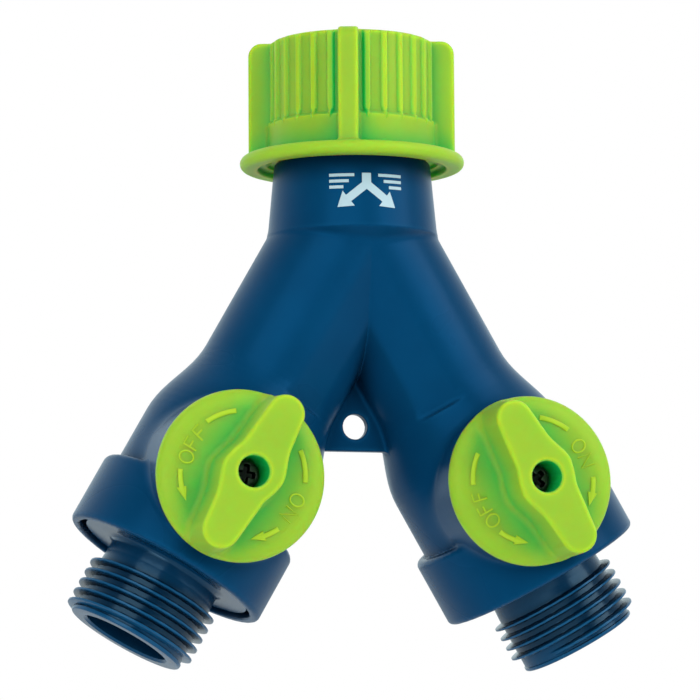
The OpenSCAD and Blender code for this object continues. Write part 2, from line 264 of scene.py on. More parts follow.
def thread_radius(height, root, crest, origin, start, end, phase=0.0):
    """Radii at one height of a right-handed helix through origin, blunt at start and end."""
    def radii(angles):
        turns = (height - origin) / PITCH - (angles + phase) / (2 * math.pi)
        number = np.round(turns)
        away = np.abs(turns - number)
        place = origin + PITCH * (number + (angles + phase) / (2 * math.pi))
        present = blend((place - start) / RUN_IN + 0.5) * blend((end - place) / RUN_IN + 0.5)
        ridge = 1 - blend((away - CREST_HALF) / FLANK)
        return root + (crest - root) * ridge * present
    return radii


# ---------- body ----------

NECK_TOP = -13.2
NECK_TOP_RADIUS = 15.6
NECK_BASE_RADIUS = 16.9
FORK = -27.7
LEG_RADIUS = 14.6
BARREL_RADIUS = 18.5
COLLAR_RADIUS = 20.8
COLLAR_START = 5.0
COLLAR_END = 19.3
PASSAGE_RADIUS = 7.6
CHAMBER_RADIUS = 11.8
CHAMBER_HALF = 11.4
FLANGE_SEAT = 16.0
MOUTH_RADIUS = 18.9
BOSS_TOP = 20.9
BOSS_RADIUS = 15.9
HOLE_DROP = -66.0
HOLE_RADIUS = 2.5
WEB_TOP = -50.0
WEB_BOTTOM = -70.9
WEB_HALF_WIDTH = 10.0
WEB_HALF_THICKNESS = 1.2
FLAT_ANGLE = math.radians(-23.5)     # round the leg from its front, towards the other leg
FLAT_HALF = math.radians(15.5)
FLAT_END = -20.0
LEG_START = -58.2                    # the fork, where both legs meet
SWELL_START = -24.0
SWELL_LENGTH = 17.0
TAIL_SOCKET_RADIUS = 9.0
TAIL_SOCKET_FLOOR = -25.2
STEM_BORE = [(5.68, 0), (5.68, 13.6), (4.18, 13.6), (4.18, 18.4), (6.2, 18.4), (6.2, 24)]


def body_distance(p):
    """Signed distance to the forked body moulding."""
    x, y, z = p.T
    r = np.hypot(x, y)
    neck = outline_distance(r, z, [
        (-1, FORK - 4), (14.2, FORK - 3.4), (NECK_BASE_RADIUS, FORK - 0.2),
        *arc(NECK_TOP_RADIUS - 0.8, NECK_TOP - 0.8, 0.8, 0, 90, 4), (-1, NECK_TOP)])
    u = np.linspace(0, 1, 12)
    swell = zip(LEG_RADIUS + (BARREL_RADIUS - LEG_RADIUS) * blend(u),
                SWELL_START + SWELL_LENGTH * u)
    leg_outline = [(-1, LEG_START), (LEG_RADIUS, LEG_START), *swell, (BARREL_RADIUS, COLLAR_START),
                   *arc(COLLAR_RADIUS - 1.2, COLLAR_START + 1.2, 1.2, -90, 0, 5),
                   *arc(COLLAR_RADIUS - 0.9, COLLAR_END - 0.9, 0.9, 0, 90, 5), (-1, COLLAR_END)]
    # Socket of the tail, the passage down to the fork, and a ball that joins it to the legs.
    hollow = np.maximum(r - TAIL_SOCKET_RADIUS, np.maximum(z - NECK_TOP - 1, TAIL_SOCKET_FLOOR - z))
    hollow = np.minimum(hollow, np.maximum(r - PASSAGE_RADIUS, FORK - z))
    hollow = np.minimum(hollow, np.sqrt(x * x + y * y + (z - FORK) ** 2) - PASSAGE_RADIUS)
    legs = None
    for side in SIDES.values():
        t, across, depth = leg_coordinates(p, side)
        rho = np.hypot(across, depth)
        leg = outline_distance(rho, t, leg_outline)
        forward = across * math.sin(FLAT_ANGLE) - depth * math.cos(FLAT_ANGLE)
        flat = LEG_RADIUS * math.cos(FLAT_HALF) - forward
        leg = soft_max(leg, -soft_max(flat, t - FLAT_END, 1.0), 0.25)
        legs = leg if legs is None else soft_min(legs, leg, 0.25)
        passage = outline_distance(rho, t, [
            (-1, LEG_START), (PASSAGE_RADIUS, LEG_START), (PASSAGE_RADIUS, -CHAMBER_HALF),
            (CHAMBER_RADIUS, -CHAMBER_HALF), (CHAMBER_RADIUS, FLANGE_SEAT),
            (MOUTH_RADIUS, FLANGE_SEAT), (MOUTH_RADIUS, COLLAR_END + 2), (-1, COLLAR_END + 2)])
        hollow = np.minimum(hollow, passage)
    outer = soft_min(neck, legs, 0.8)
    for side in SIDES.values():
        a, b, forward = knob_coordinates(p, side)
        rho = np.hypot(a, b)
        boss = outline_distance(rho, forward, [
            (-1, 0), (BOSS_RADIUS + 1.2, 0), *arc(BOSS_RADIUS - 0.6, BOSS_TOP - 0.6, 0.6, 0, 90, 4),
            (-1, BOSS_TOP)])
        outer = soft_min(outer, boss, 1.1)
        bore = outline_distance(rho, forward, [(-1, 0), *STEM_BORE, (-1, 24)])
        hollow = np.minimum(hollow, bore)
    web = box_distance(x, y, z - (WEB_TOP + WEB_BOTTOM) / 2,
                       WEB_HALF_WIDTH, WEB_HALF_THICKNESS, (WEB_TOP - WEB_BOTTOM) / 2)
    outer = soft_min(outer, web, 0.9)
    outer = soft_max(outer, HOLE_RADIUS - np.hypot(x, z - HOLE_DROP), 0.4)
    return soft_max(outer, -hollow, 0.35)


def make_body():
    body = reshaped("body_moulding", frame["nodes"]["y_body"].data, body_distance, 0.5)
    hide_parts("y_body")
    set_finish(body, "body")
    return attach(body, "body")


# ---------- outlets ----------

OUTLET_BORE = 8.7
OUTLET_NECK = 11.6
FIRST_CREST = 24.02
THREAD_START = 23.0
THREAD_PHASE = math.pi / 2
THREAD_END = {-1: 33.9, 1: 33.05}
THREAD_DEPTH = 1.65
OUTLET_END = 34.84
LIP_RADIUS = 11.95
FLANGE_FACE = 18.4
# Inside end, O-ring groove and flange of an outlet, as (radius, distance down the leg).
OUTLET_PLUG = [(OUTLET_BORE, 11.4), (11.7, 11.4), (11.7, 12.7), (10.5, 12.7), (10.5, 14.7),
               (11.7, 14.7), (11.7, FLANGE_SEAT), (17.8, FLANGE_SEAT), (18.0, FLANGE_SEAT + 0.2),
               (18.0, 18.1), (17.75, FLANGE_FACE)]


def make_outlet(name, side):
    """Outlet with a helical thread on one leg."""
    root = THREAD_RADIUS - THREAD_DEPTH
    rings = OUTLET_PLUG + arc(OUTLET_NECK + 1.3, FLANGE_FACE + 1.3, 1.3, 270, 180, 8)
    for height in np.arange(20.6, 34.0, 0.085):
        floor = np.interp(height, (21.5, THREAD_START), (OUTLET_NECK, root))
        rings.append((thread_radius(height, floor, THREAD_RADIUS, FIRST_CREST, THREAD_START,
                                    THREAD_END[side], THREAD_PHASE), height))
    rings += [(LIP_RADIUS, 34.1), *arc(LIP_RADIUS - 0.4, OUTLET_END - 0.4, 0.4, 0, 90, 4),
              (OUTLET_BORE + 0.5, OUTLET_END), (OUTLET_BORE, OUTLET_END - 0.5), (OUTLET_BORE, 23.0)]
    outlet = lathe(f"outlet_{name}", rings, leg_matrix(side))
    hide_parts(f"outlet_fitting_{name}")
    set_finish(outlet, "body")
    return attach(outlet, "body")


# ---------- swivel nut ----------

NUT_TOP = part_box("swivel_nut")[1].z / MM
NUT_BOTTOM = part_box("swivel_nut")[0].z / MM
FLANGE_TOP = NUT_BOTTOM + 2.8
FLANGE_RADIUS = 22.4
BAND_RADIUS = 16.8
FLAT_RADIUS = 15.9
RIB_FOOT = 13.8
RIB_RADIUS = 20.6
RIB_WIDTH = 4.0
RIDGE_BOTTOM = -5.1
RIDGE_WIDTH = 1.35
RIDGE_HEIGHT = 0.62
DIVISIONS = 28              # places for ridges round the nut; every seventh is a rib instead
NUT_MOUTH_RADIUS = 18.8
THREAD_BED = INLET_RADIUS + 1.2
# Inside of the nut from its mouth round the neck up to the thread, as (radius, height).
NUT_INSIDE = [(NUT_MOUTH_RADIUS, NUT_BOTTOM + 1.2), (17.2, NUT_BOTTOM + 1.2),
              (17.2, NUT_BOTTOM + 2), (14.6, NUT_BOTTOM + 2), (14.6, -9.3), (10.08, -9.3),
              (10.08, -6.1), (13.1, -6.1), (13.1, 0.3), (THREAD_BED, 0.6)]


def nut_distance(p):
    """Signed distance to the nut, without its thread."""
    c, s = math.cos(NUT_TURN - math.pi / 2), math.sin(NUT_TURN - math.pi / 2)
    x, y, z = p[:, 0] * c + p[:, 1] * s, -p[:, 0] * s + p[:, 1] * c, p[:, 2]
    r, angle = np.hypot(x, y), np.arctan2(y, x)
    step = 2 * math.pi / DIVISIONS
    near = (angle + step / 2) % step - step / 2
    number = np.round(angle / step).astype(int) % 7
    half_width = RIDGE_WIDTH / 2 * np.clip((z - RIDGE_BOTTOM + 1.3) / 2.2, 0, 1)
    across = blend((half_width + 0.22 - np.abs(near * r)) / 0.44)
    height = RIDGE_HEIGHT * across * blend((NUT_TOP - z) / 0.8)
    height = np.where((number == 0) | (z < RIDGE_BOTTOM - 1.3), 0, height)
    outer = outline_distance(r - height, z, [
        (-1, NUT_BOTTOM), *arc(FLANGE_RADIUS - 1.35, NUT_BOTTOM + 1.35, 1.35, -90, 90, 10),
        (BAND_RADIUS, FLANGE_TOP), (BAND_RADIUS, RIDGE_BOTTOM - 0.7), (FLAT_RADIUS, RIDGE_BOTTOM),
        *arc(FLAT_RADIUS - 0.6, NUT_TOP - 0.6, 0.6, 0, 90, 4), (-1, NUT_TOP)])
    quarter = (angle + math.pi / 4) % (math.pi / 2) - math.pi / 4
    out, aside = r * np.cos(quarter), r * np.sin(quarter)
    rib = outline_distance(out, z, [
        (RIB_FOOT, NUT_BOTTOM + 1), (RIB_RADIUS, NUT_BOTTOM + 1),
        *arc(RIB_RADIUS - 2.8, NUT_TOP - 2.8, 2.8, 0, 90, 8), (RIB_FOOT, NUT_TOP)])
    rib = soft_max(rib, np.abs(aside) - RIB_WIDTH / 2, 0.7)
    outer = soft_min(outer, rib, 0.8)
    outer = soft_max(outer, z - NUT_TOP, 0.3)
    inside = outline_distance(r, z, [
        (-1, NUT_BOTTOM - 1), (NUT_MOUTH_RADIUS, NUT_BOTTOM - 1), *NUT_INSIDE,
        (THREAD_BED, NUT_TOP - 0.5), (THREAD_BED + 1, NUT_TOP + 0.5), (-1, NUT_TOP + 0.5)])
    return soft_max(outer, -inside, 0.3)


def nut_base():
    """Rough closed shells that cover the nut: a ring and four ribs."""
    bm = bmesh.new()
    outline = [(NUT_MOUTH_RADIUS, NUT_BOTTOM), *NUT_INSIDE, (14.0, NUT_TOP),
               (FLAT_RADIUS, NUT_TOP), (FLAT_RADIUS, RIDGE_BOTTOM), (BAND_RADIUS, RIDGE_BOTTOM),
               (BAND_RADIUS, FLANGE_TOP), (FLANGE_RADIUS, FLANGE_TOP), (FLANGE_RADIUS, NUT_BOTTOM)]
    columns = 96
    grid = []
    angles = np.linspace(0, 2 * math.pi, columns, endpoint=False)
    for radius, height in outline:
        grid.append([bm.verts.new((radius * math.cos(a) * MM, radius * math.sin(a) * MM,
                                   height * MM)) for a in angles])
    for i, ring in enumerate(grid):
        following = grid[(i + 1) % len(grid)]
        for k in range(columns):
            m = (k + 1) % columns
            bm.faces.new((ring[k], ring[m], following[m], following[k]))
    for i in range(4):
        low, high = NUT_BOTTOM + 1, NUT_TOP
        placed = (Matrix.Rotation(NUT_TURN - math.pi / 2 + i * math.pi / 2, 4, "Z")
                  @ Matrix.Translation(Vector((17.7, 0, (low + high) / 2)) * MM)
                  @ Matrix.Diagonal(Vector((5.8, RIB_WIDTH, high - low, 1000)) * MM))
        bmesh.ops.create_cube(bm, size=1, matrix=placed)
    bmesh.ops.recalc_face_normals(bm, faces=bm.faces)
    mesh = bpy.data.meshes.new("nut_base")
    bm.to_mesh(mesh)
    bm.free()
    return mesh


def make_nut():
    """Nut, and its inside thread as a piece of its own."""
    nut = reshaped("nut_moulding", nut_base(), nut_distance, 0.26)
    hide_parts("swivel_nut")
    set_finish(nut, "lime_plastic")
    root, back, start = INLET_RADIUS + 1.3, INLET_RADIUS + 1.7, 0.6
    rings = [(thread_radius(height, root, INLET_RADIUS, start, start, start + 4 * PITCH), height)
             for height in np.arange(0.0, 10.2, 0.11)]
    rings += [(back, 10.1), (back, 0.0)]
    thread = lathe("inlet_thread", rings, None)
    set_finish(thread, "lime_plastic")
    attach(thread, "nut")
    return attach(nut, "nut"), thread


# ---------- knobs ----------

KNOB_BACK = 21.2
KNOB_FACE = 24.6
KNOB_TOP = -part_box("knob_left")[0].y / MM
KNOB_RADIUS = 16.6
HANDLE_REACH = 12.7
HANDLE_END = 3.65
HANDLE_ROOT = 5.05
HANDLE_HUB = 5.75
WELL_RADIUS = 3.05
SCREW_SEAT = KNOB_TOP - 8.7
SCREW_TURN = math.radians(20)
RECESS_REACH = 2.05
RECESS_HALF = 0.62


def capsule_distance(x, y, length, start_radius, end_radius):
    """Signed distance to a tapering bar with round ends along +X."""
    y = np.abs(y)
    b = (start_radius - end_radius) / length
    a = math.sqrt(1 - b * b)
    k = -y * b + x * a
    near_start = np.hypot(x, y) - start_radius
    near_end = np.hypot(x - length, y) - end_radius
    side = x * b + y * a - start_radius
    return np.where(k < 0, near_start, np.where(k > a * length, near_end, side))


def knob_distance(side):
    """Signed distance to one knob, as a function of points."""
    rim = [(KNOB_RADIUS - 3.8 * (1 - math.cos(a)), KNOB_FACE - 2.1 * (1 - math.sin(a)))
           for a in np.linspace(0, math.pi / 2, 10)]
    disc_outline = [(-1, 18.7), (5.9, 18.7), (5.9, KNOB_BACK + 1.4),
                    (KNOB_RADIUS - 2, KNOB_BACK + 1.4), (KNOB_RADIUS - 2, KNOB_BACK),
                    *arc(KNOB_RADIUS - 1.3, KNOB_BACK + 1.3, 1.3, -90, 0, 5), *rim, (-1, KNOB_FACE)]

    def distance(p):
        x, y, z = knob_coordinates(p, side)
        rho = np.hypot(x, y)
        disc = outline_distance(rho, z, disc_outline)
        arms = np.minimum(capsule_distance(x, y, HANDLE_REACH, HANDLE_ROOT, HANDLE_END),
                          capsule_distance(-x, y, HANDLE_REACH, HANDLE_ROOT, HANDLE_END))
        # The corners between hub and arms are tighter on one diagonal than on the other.
        corner = 1.8 - 1.1 * np.tanh(x * y / 6)
        outline = soft_min(arms, rho - HANDLE_HUB, corner)
        flare = np.clip(KNOB_TOP - z, 0, 9) * 0.06
        handle = soft_max(outline - flare, z - KNOB_TOP, 0.75)
        handle = np.maximum(handle, KNOB_FACE - 1.2 - z)
        handle = soft_max(handle, rho - KNOB_RADIUS + 0.05, 0.3)
        whole = soft_min(disc, handle, 1.3)
        chamfer = np.clip(z - KNOB_TOP + 0.35, 0, 1) * 0.8
        well = np.maximum(rho - WELL_RADIUS - chamfer, SCREW_SEAT - z)
        whole = soft_max(whole, -well, 0.2)
        hole = rho - 1.7
        socket = np.maximum(np.maximum(np.abs(x), np.abs(y)) - 2.6, z - SCREW_SEAT + 1.4)
        return soft_max(whole, -np.minimum(hole, socket), 0.1)
    return distance


def make_knob(name, side):
    base = frame["nodes"][f"knob_{name}"].data
    knob = reshaped(f"knob_moulding_{name}", base, knob_distance(side), 0.28)
    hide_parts(f"knob_{name}")
    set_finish(knob, "lime_plastic")
    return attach(knob, f"{name}_valve")


def screw_distance(side):
    """Signed distance to one cross-head screw, as a function of points."""
    outline = [(-1, SCREW_SEAT - 8), (1.5, SCREW_SEAT - 8), (1.5, SCREW_SEAT), (2.8, SCREW_SEAT),
               *arc(1.7, SCREW_SEAT + 0.9, 1.1, 0, 90, 6), (-1, SCREW_SEAT + 2)]

    def distance(p):
        x, y, z = knob_coordinates(p, side)
        u = np.abs(x * math.cos(SCREW_TURN) + y * math.sin(SCREW_TURN))
        v = np.abs(y * math.cos(SCREW_TURN) - x * math.sin(SCREW_TURN))
        screw = outline_distance(np.hypot(x, y), z, outline)
        reach = RECESS_REACH - (SCREW_SEAT + 2 - z) * 0.3
        arms = np.minimum(np.maximum(u - reach, v - RECESS_HALF),
                          np.maximum(v - reach, u - RECESS_HALF))
        recess = np.maximum(arms, SCREW_SEAT + 0.6 - z)
        return soft_max(screw, -recess, 0.12)
    return distance


def make_screw(name, side):
    base = frame["nodes"][f"knob_screw_{name}"].data
    screw = reshaped(f"screw_{name}", base, screw_distance(side), 0.16)
    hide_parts(f"knob_screw_{name}")
    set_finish(screw, "screws")
    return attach(screw, f"{name}_valve")


# ---------- flow mark printed on the neck ----------

PRINT_TURN = math.radians(-96)
PRINT_LEVEL = -20.9
PRINT_LIFT = 0.06       # how far the ink stands off the neck
PRINT_SINK = 0.2        # and how far it is sunk into it, so that no gap shows


def on_neck(u, v, lift):
    """Point on the neck: u to the right round it and v upwards from the middle of the mark."""
    z = PRINT_LEVEL + v
    radius = np.interp(z, (FORK - 0.2, NECK_TOP - 0.8), (NECK_BASE_RADIUS, NECK_TOP_RADIUS)) + lift
    angle = PRINT_TURN + u / radius
    return Vector((radius * math.cos(angle), radius * math.sin(angle), z)) * MM


def ink_stroke(bm, start, end, start_width, end_width, steps=10):
    """Thin closed strip of ink from start to end that follows the neck."""
    start, end = np.array(start), np.array(end)
    along = (end - start) / np.linalg.norm(end - start)
    aside = np.array([-along[1], along[0]])
    rings = []
    for share in np.linspace(0, 1, steps + 1):
        middle = start + (end - start) * share
        half = aside * (start_width + (end_width - start_width) * share) / 2
        a, b = middle + half, middle - half
        corners = (a, PRINT_LIFT), (b, PRINT_LIFT), (b, -PRINT_SINK), (a, -PRINT_SINK)
        rings.append([bm.verts.new(on_neck(*q, lift)) for q, lift in corners])
    for a, b in zip(rings, rings[1:]):
        for k in range(4):
            m = (k + 1) % 4
            bm.faces.new((a[k], a[m], b[m], b[k]))
    bm.faces.new(rings[0][::-1])
    bm.faces.new(rings[-1])


def make_print():
    """One line that splits into two arrows, as the water does."""
    bm = bmesh.new()
    ink_stroke(bm, (0, 3.4), (0, 0.6), 1.8, 1.8)
    for way in SIDES.values():
        ink_stroke(bm, (0, 1.2), (way * 3.9, -1.9), 1.6, 1.6)
        ink_stroke(bm, (way * 3.6, -1.7), (way * 5.8, -3.4), 3.8, 0.1)
        for number in range(3):
            level = 3.0 - 1.2 * number
            ink_stroke(bm, (way * (2.4 + 1.1 * number), level), (way * 7.4, level), 0.6, 0.6)
    mesh = bpy.data.meshes.new("flow_mark")
    bm.to_mesh(mesh)
    bm.free()
    mark = finish_mesh(new_object("flow_mark", mesh), 50)
    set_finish(mark, "body")
    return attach(mark, "body")


# ---------- raised marks on the knobs ----------

BAND_MARK_RADIUS = 12.3
BAND_WIDTH = 0.95
ARROW_SWEEP = 13
LETTER_RADIUS = 11.55
LETTER_HEIGHT = 2.8
LETTER_WIDTHS = {"O": 2.3, "F": 1.6, "N": 2.1}
BEAD_RADIUS = 0.19
# Letters with their angles in degrees round the face, and bands as (start, end, ends in an arrow).
LETTERS = (("F", 76.5), ("F", 89.8), ("O", 103.6), ("O", -84), ("N", -100))
BANDS = ((36, 65.5, False), (115.5, 144.5, True), (-36.5, -66, False), (-116, -143.5, True))


def bead(bm, path, radius, sides=8):
    """Round bead along a flat open or closed path of (x, y, z) points in millimetres."""
    closed = path[0] == path[-1]
    points = [Vector(q) for q in (path[:-1] if closed else path)]
    rings = []
    for i, q in enumerate(points):
        before = points[i - 1] if closed or i else q
        after = points[(i + 1) % len(points)] if closed or i < len(points) - 1 else q
        ahead = (after - before).normalized()
        aside = Vector((0, 0, 1)).cross(ahead)
        ring = []
        for k in range(sides):
            a = 2 * math.pi * k / sides
            offset = aside * math.cos(a) * radius + Vector((0, 0, 1)) * math.sin(a) * radius
            ring.append(bm.verts.new((q + offset) * MM))
        rings.append(ring)
    count = len(rings)
    for i in range(count if closed else count - 1):
        a, b = rings[i], rings[(i + 1) % count]
        for k in range(sides):
            m = (k + 1) % sides
            bm.faces.new((a[k], a[m], b[m], b[k]))
    if not closed:
        bm.faces.new(rings[0][::-1])
        bm.faces.new(rings[-1])


def on_face(angle, radius, u=0.0, v=0.0, z=KNOB_FACE):
    """Point on the knob's face: u clockwise round it and v outwards from a place in polar form."""
    a = math.radians(angle)
    out, clockwise = Vector((math.cos(a), math.sin(a), 0)), Vector((math.sin(a), -math.cos(a), 0))
    q = out * (radius + v) + clockwise * u
    return (q.x, q.y, z)


def letter(bm, shape, angle):
    """One letter of plain strokes, its top towards the rim, centred at an angle on the face."""
    w, h = LETTER_WIDTHS[shape] / 2, LETTER_HEIGHT / 2
    ring = [(w * math.cos(a), h * math.sin(a)) for a in np.linspace(0, 2 * math.pi, 25)]
    ring[-1] = ring[0]
    strokes = {
        "O": [ring],
        "F": [[(-w, -h), (-w, h), (w, h)], [(-w, 0.1), (w * 0.7, 0.1)]],
        "N": [[(-w, -h), (-w, h), (w, -h), (w, h)]],
    }[shape]
    level = KNOB_FACE + 0.03
    for stroke in strokes:
        bead(bm, [on_face(angle, LETTER_RADIUS, u, v, level) for u, v in stroke], BEAD_RADIUS)


def raised_pad(bm, outline, low, high, inset=0.1):
    """Low pad with a bevelled edge over a counter-clockwise outline of (x, y) in millimetres."""
    base = [bm.verts.new((x * MM, y * MM, low * MM)) for x, y in outline]
    shoulder = [bm.verts.new((x * MM, y * MM, (high - inset) * MM)) for x, y in outline]
    top = []
    count = len(outline)
    for i, q in enumerate(outline):
        before, after = np.array(outline[i - 1]), np.array(outline[(i + 1) % count])
        along = (after - before) / max(np.linalg.norm(after - before), 1e-9)
        inward = np.array([-along[1], along[0]])
        x, y = q + inward * inset
        top.append(bm.verts.new((x * MM, y * MM, high * MM)))
    for lower, upper in ((base, shoulder), (shoulder, top)):
        for i in range(count):
            j = (i + 1) % count
            bm.faces.new((lower[i], lower[j], upper[j], upper[i]))
    bm.faces.new(top)
    bm.faces.new(base[::-1])


def arc_band(start, end, radius, width, arrow):
    """Outline of a band along an arc on the face, with an arrow head at its end if asked."""
    head = math.copysign(ARROW_SWEEP, end - start) if arrow else 0
    angles = np.linspace(start, end - head, 9)
    outer = [on_face(a, radius + width / 2)[:2] for a in angles]
    inner = [on_face(a, radius - width / 2)[:2] for a in angles[::-1]]
    tip = []
    if arrow:
        tip = [on_face(end - head, radius + width * 1.05)[:2], on_face(end, radius)[:2],
               on_face(end - head, radius - width * 1.05)[:2]]
    return outer + tip + inner


def make_marks(name, side):
    """ON, OFF and the bands and arrows between them, on one knob."""
    bm = bmesh.new()
    for shape, angle in LETTERS:
        letter(bm, shape, angle)
    for start, end, arrow in BANDS:
        outline = arc_band(start, end, BAND_MARK_RADIUS, BAND_WIDTH, arrow)
        area = sum(a[0] * b[1] - b[0] * a[1] for a, b in zip(outline, outline[1:] + outline[:1]))
        raised_pad(bm, outline if area > 0 else outline[::-1], KNOB_FACE - 0.3, KNOB_FACE + 0.2)
    mesh = bpy.data.meshes.new(f"knob_marks_{name}")
    bm.to_mesh(mesh)
    bm.free()
    marks = finish_mesh(new_object(mesh.name, mesh, knob_matrix(side)), 50)
    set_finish(marks, "lime_plastic")
    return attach(marks, f"{name}_valve")


# ---------- materials ----------

def add_node(tree, kind, **values):
    """New shader node with its inputs and properties set; a node output as a value is linked."""
    node = tree.nodes.new(kind)
    for key, value in values.items():
        if key in node.inputs:
            if isinstance(value, bpy.types.NodeSocket):
                tree.links.new(value, node.inputs[key])
            else:
                node.inputs[key].default_value = value
        else:
            setattr(node, key, value)
    return node


def colour_mix(tree, factor, low, high):
    """Colour from low to high by factor; each of the three may be a node output."""
    node = add_node(tree, "ShaderNodeMix", data_type="RGBA")
    for key, value in (("Factor_Float", factor), ("A_Color", low), ("B_Color", high)):
        socket = next(i for i in node.inputs if i.identifier == key)
        if isinstance(value, bpy.types.NodeSocket):
            tree.links.new(value, socket)
        else:
            socket.default_value = value if key == "Factor_Float" else (*value, 1)
    return next(o for o in node.outputs if o.identifier == "Result_Color")


def ramp(tree, value, low, high, start=0.0, end=1.0):
    """Value spread from start..end to low..high."""
    node = add_node(tree, "ShaderNodeMapRange")
    tree.links.new(value, node.inputs["Value"])
    for key, number in (("From Min", start), ("From Max", end), ("To Min", low), ("To Max", high)):
        node.inputs[key].default_value = number
    return node.outputs["Result"]


EDGE_REACH = 0.0011     # how far, in metres, the painted highlight on an edge reaches over the plastic


def noise(tree, where, scale, detail, **values):
    """Height of a noise texture, from 0 to 1."""
    return add_node(tree, "ShaderNodeTexNoise", Vector=where, Scale=scale, Detail=detail,
                    **values).outputs["Fac"]


def plastic(name, light, dark, edge_highlight, gloss, grain, deep=None, depth=(0.5, 0.95), reach=0.006,
            local=True, **shader_values):
    """Moulded plastic: cloudy pigment, uneven gloss, grain, scuffs, a painted highlight on edges and painted shade
    in corners and recesses.
    """
    material = bpy.data.materials.new(name)
    material.use_nodes = True
    tree = material.node_tree
    shader = tree.nodes["Principled BSDF"]
    where = add_node(tree, "ShaderNodeTexCoord").outputs["Object"]
    cloud = noise(tree, where, 70.0, 5.0, Roughness=0.6)
    flow = noise(tree, where, 22.0, 2.0, Distortion=1.5)
    fine = noise(tree, where, 2600.0, 3.0)
    scuff = noise(tree, where, 420.0, 6.0, Roughness=0.7)
    patchy = add_node(tree, "ShaderNodeMath", operation="MULTIPLY")
    tree.links.new(ramp(tree, scuff, 0, 1, 0.58, 0.72), patchy.inputs[0])
    tree.links.new(ramp(tree, flow, 0, 1, 0.45, 0.7), patchy.inputs[1])
    edge = add_node(tree, "ShaderNodeAmbientOcclusion", samples=8, inside=True, only_local=True,
                    Distance=EDGE_REACH)
    base = colour_mix(tree, ramp(tree, cloud, 0, 1, 0.3, 0.7), dark, light)
    # Painted highlight: edges found by the inside occlusion turn towards the paler edge colour.
    base = colour_mix(tree, ramp(tree, edge.outputs["AO"], 1, 0, 0.66, 0.98), base, edge_highlight)
    rough = add_node(tree, "ShaderNodeMath", operation="ADD")
    tree.links.new(ramp(tree, flow, gloss - 0.03, gloss + 0.04, 0.35, 0.65), rough.inputs[0])
    tree.links.new(ramp(tree, patchy.outputs[0], 0, 0.12), rough.inputs[1])
    # Painted shade: where occlusion finds corners, recesses or nearby parts, the colour turns towards the dark
    # shade colour.
    if deep:
        open_air = add_node(tree, "ShaderNodeAmbientOcclusion", samples=10, only_local=local,
                            Distance=reach)
        base = colour_mix(tree, ramp(tree, open_air.outputs["AO"], 1, 0, *depth), base, deep)
    tree.links.new(base, shader.inputs["Base Color"])
    tree.links.new(rough.outputs[0], shader.inputs["Roughness"])
    waves = add_node(tree, "ShaderNodeBump", Strength=0.12, Distance=0.0004, Height=cloud)
    bump = add_node(tree, "ShaderNodeBump", Strength=grain, Distance=0.00005, Height=fine,
                    Normal=waves.outputs["Normal"])
    tree.links.new(bump.outputs["Normal"], shader.inputs["Normal"])
    for key, value in shader_values.items():
        shader.inputs[key.replace("_", " ")].default_value = value
    return material


# Light and dark blue, and the paler blue of the painted highlight on edges.
BODY_COLOURS = ((0.0012, 0.043, 0.112), (0.0010, 0.036, 0.096), (0.004, 0.062, 0.150))
LIME_SPECULAR = {"Specular_IOR_Level": 0.25, "Specular_Tint": (0.9, 1, 0.3, 1)}
# Light passes through the thick lime mouldings; their corners and recesses also get a painted shade of deeper
# green.
LIME_SCATTER_AND_SHADE = {"deep": (0.004, 0.46, 0.092), "Subsurface_Weight": 1.0,
             "Subsurface_Radius": (0.08, 1.0, 0.6), "Subsurface_Scale": 0.0035, **LIME_SPECULAR}
INK = (0.36, 0.50, 0.56)

